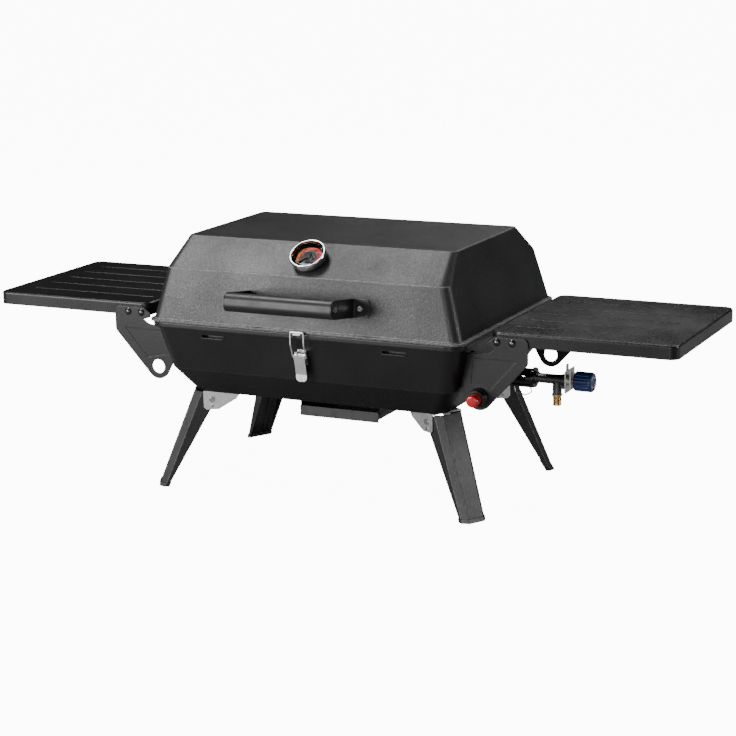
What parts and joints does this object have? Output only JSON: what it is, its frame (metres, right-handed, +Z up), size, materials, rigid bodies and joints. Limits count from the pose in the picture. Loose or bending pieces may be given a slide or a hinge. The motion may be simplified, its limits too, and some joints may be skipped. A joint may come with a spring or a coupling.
{
  "type": "portable gas barbecue grill",
  "caption": "Low rectangular steel grill with a hinged lid, fold-up side tables, folding splayed legs, a gas valve at the right end and a drip tray underneath",
  "frame": {"origin": "on the ground under the middle of the overall box", "axes": "+X to the right of a cook who faces the handle, along both side tables; -Y toward the cook; +Z up"},
  "size_m": [1.126, 0.4654, 0.4003],
  "materials": {
    "lid_enamel": "satin textured powder coat",
    "bowl_enamel": "satin powder coat",
    "table_enamel": "satin powder coat",
    "bracket_enamel": "satin powder coat",
    "leg_enamel": "satin powder coat",
    "zinc_plate": "bright zinc plate",
    "black_cap": "moulded black plastic",
    "fastener_steel": "zinc plated",
    "hinge_steel": "pressed steel",
    "grate_iron": "enamelled grate",
    "burner_steel": "steel tube",
    "valve_metal": "die-cast",
    "nipple_brass": "turned brass",
    "stem_brass": "turned brass",
    "knob_blue": "moulded blue plastic",
    "button_red": "moulded red plastic",
    "electrode_ceramic": "white ceramic",
    "gauge_black": "black cup",
    "gauge_chrome": "polished bezel",
    "gauge_dial": "printed dial",
    "gauge_glass": "clear lens",
    "gauge_pointer": "painted needle",
    "tray_enamel": "satin powder coat"
  },
  "bodies": {
    "bowl": {"table_bracket_front_right": "bracket_enamel", "table_bracket_front_left": "bracket_enamel", "table_bracket_rear_right": "bracket_enamel", "table_bracket_rear_left": "bracket_enamel", "leg_bracket_front_right": "zinc_plate", "leg_bracket_front_left": "zinc_plate", "leg_bracket_rear_right": "zinc_plate", "leg_bracket_rear_left": "zinc_plate", "leg_pins": "zinc_plate", "tray_rails": "zinc_plate", "latch_base": "zinc_plate", "hinge_leaves_bowl": "hinge_steel", "hinge_pins": "fastener_steel", "bowl_shell": "bowl_enamel", "bowl_rivets": "fastener_steel", "grate_ledges": "hinge_steel", "cooking_grate": "grate_iron", "heat_plate": "burner_steel", "burner_tube": "burner_steel", "burner_foot": "burner_steel", "wire_clip": "zinc_plate", "air_shroud": "burner_steel", "jet_holder": "valve_metal", "valve_body": "valve_metal", "gas_inlet_nipple": "nipple_brass", "valve_clip": "zinc_plate", "igniter_body": "black_cap", "igniter_nut": "black_cap", "igniter_electrode": "electrode_ceramic", "table_bolts": "fastener_steel", "table_nuts": "fastener_steel"},
    "lid": {"handle_screws": "fastener_steel", "handle_grip": "black_cap", "handle_straps": "zinc_plate", "lid_shell": "lid_enamel", "lid_rivets": "fastener_steel", "hinge_leaves_lid": "hinge_steel", "latch_keeper": "zinc_plate", "thermometer_body": "gauge_black", "thermometer_bezel": "gauge_chrome", "thermometer_dial": "gauge_dial", "thermometer_glass": "gauge_glass"},
    "thermometer_pointer": {"thermometer_pointer": "gauge_pointer"},
    "latch_lever": {"latch_lever": "zinc_plate", "latch_pin": "zinc_plate"},
    "latch_bail": {"latch_bail": "zinc_plate"},
    "leg_front_right": {"leg_front_right": "leg_enamel", "foot_cap_front_right": "black_cap"},
    "leg_front_left": {"leg_front_left": "leg_enamel", "foot_cap_front_left": "black_cap"},
    "leg_rear_right": {"leg_rear_right": "leg_enamel", "foot_cap_rear_right": "black_cap"},
    "leg_rear_left": {"leg_rear_left": "leg_enamel", "foot_cap_rear_left": "black_cap"},
    "side_table_left": {"side_table_left": "table_enamel"},
    "side_table_right": {"side_table_right": "table_enamel"},
    "knob": {"valve_knob": "knob_blue", "valve_stem": "stem_brass"},
    "igniter_button": {"igniter_button": "button_red"},
    "drip_tray": {"drip_tray": "tray_enamel"}
  },
  "joints": [
    {"name": "lid_hinge", "type": "hinge", "parent": "bowl", "child": "lid", "pos_m": [0, 0.22768, 0.27], "axis": [-1, 0, 0], "range_deg": [0, 95]},
    {"name": "latch_lever_pivot", "type": "hinge", "parent": "bowl", "child": "latch_lever", "pos_m": [0, -0.15953, 0.23523], "axis": [-1, 0, 0], "range_deg": [0, 100]},
    {"name": "latch_bail_pivot", "type": "hinge", "parent": "latch_lever", "child": "latch_bail", "pos_m": [0, -0.16314, 0.23083], "axis": [-1, 0, 0], "range_deg": [-150, 0]},
    {"name": "leg_fold_front_right", "type": "hinge", "parent": "bowl", "child": "leg_front_right", "pos_m": [0.195, -0.08832, 0.139], "axis": [0.5075, 0.8616, 0], "range_deg": [0, 96]},
    {"name": "leg_fold_front_left", "type": "hinge", "parent": "bowl", "child": "leg_front_left", "pos_m": [-0.195, -0.08832, 0.139], "axis": [0.5075, -0.8616, 0], "range_deg": [0, 96]},
    {"name": "leg_fold_rear_right", "type": "hinge", "parent": "bowl", "child": "leg_rear_right", "pos_m": [0.195, 0.14168, 0.139], "axis": [-0.5075, 0.8616, 0], "range_deg": [0, 96]},
    {"name": "leg_fold_rear_left", "type": "hinge", "parent": "bowl", "child": "leg_rear_left", "pos_m": [-0.195, 0.14168, 0.139], "axis": [-0.5075, -0.8616, 0], "range_deg": [0, 96]},
    {"name": "table_fold_right", "type": "hinge", "parent": "bowl", "child": "side_table_right", "pos_m": [0.2965, 0.02668, 0.27], "axis": [0, -1, 0], "range_deg": [0, 90]},
    {"name": "table_fold_left", "type": "hinge", "parent": "bowl", "child": "side_table_left", "pos_m": [-0.2965, 0.02668, 0.27], "axis": [0, 1, 0], "range_deg": [0, 90]},
    {"name": "knob_turn", "type": "hinge", "parent": "bowl", "child": "knob", "pos_m": [0.363, 0.02668, 0.1855], "axis": [1, 0, 0], "range_deg": [0, 180]},
    {"name": "igniter_press", "type": "slide", "parent": "bowl", "child": "igniter_button", "axis": [0, 1, 0], "range_m": [0, 0.004], "stiffness_N_per_m": 800},
    {"name": "pointer_turn", "type": "hinge", "parent": "lid", "child": "thermometer_pointer", "pos_m": [0, -0.12182, 0.371], "axis": [0, 0.6069, -0.7948], "range_deg": [0, 270], "stiffness_Nm_per_rad": 0.002},
    {"name": "tray_slide", "type": "slide", "parent": "bowl", "child": "drip_tray", "axis": [0, -1, 0], "range_m": [0, 0.11]}
  ],
  "couplings": [
    {"joint": "latch_bail_pivot", "follows": "latch_lever_pivot", "ratio": -1.5}
  ]
}
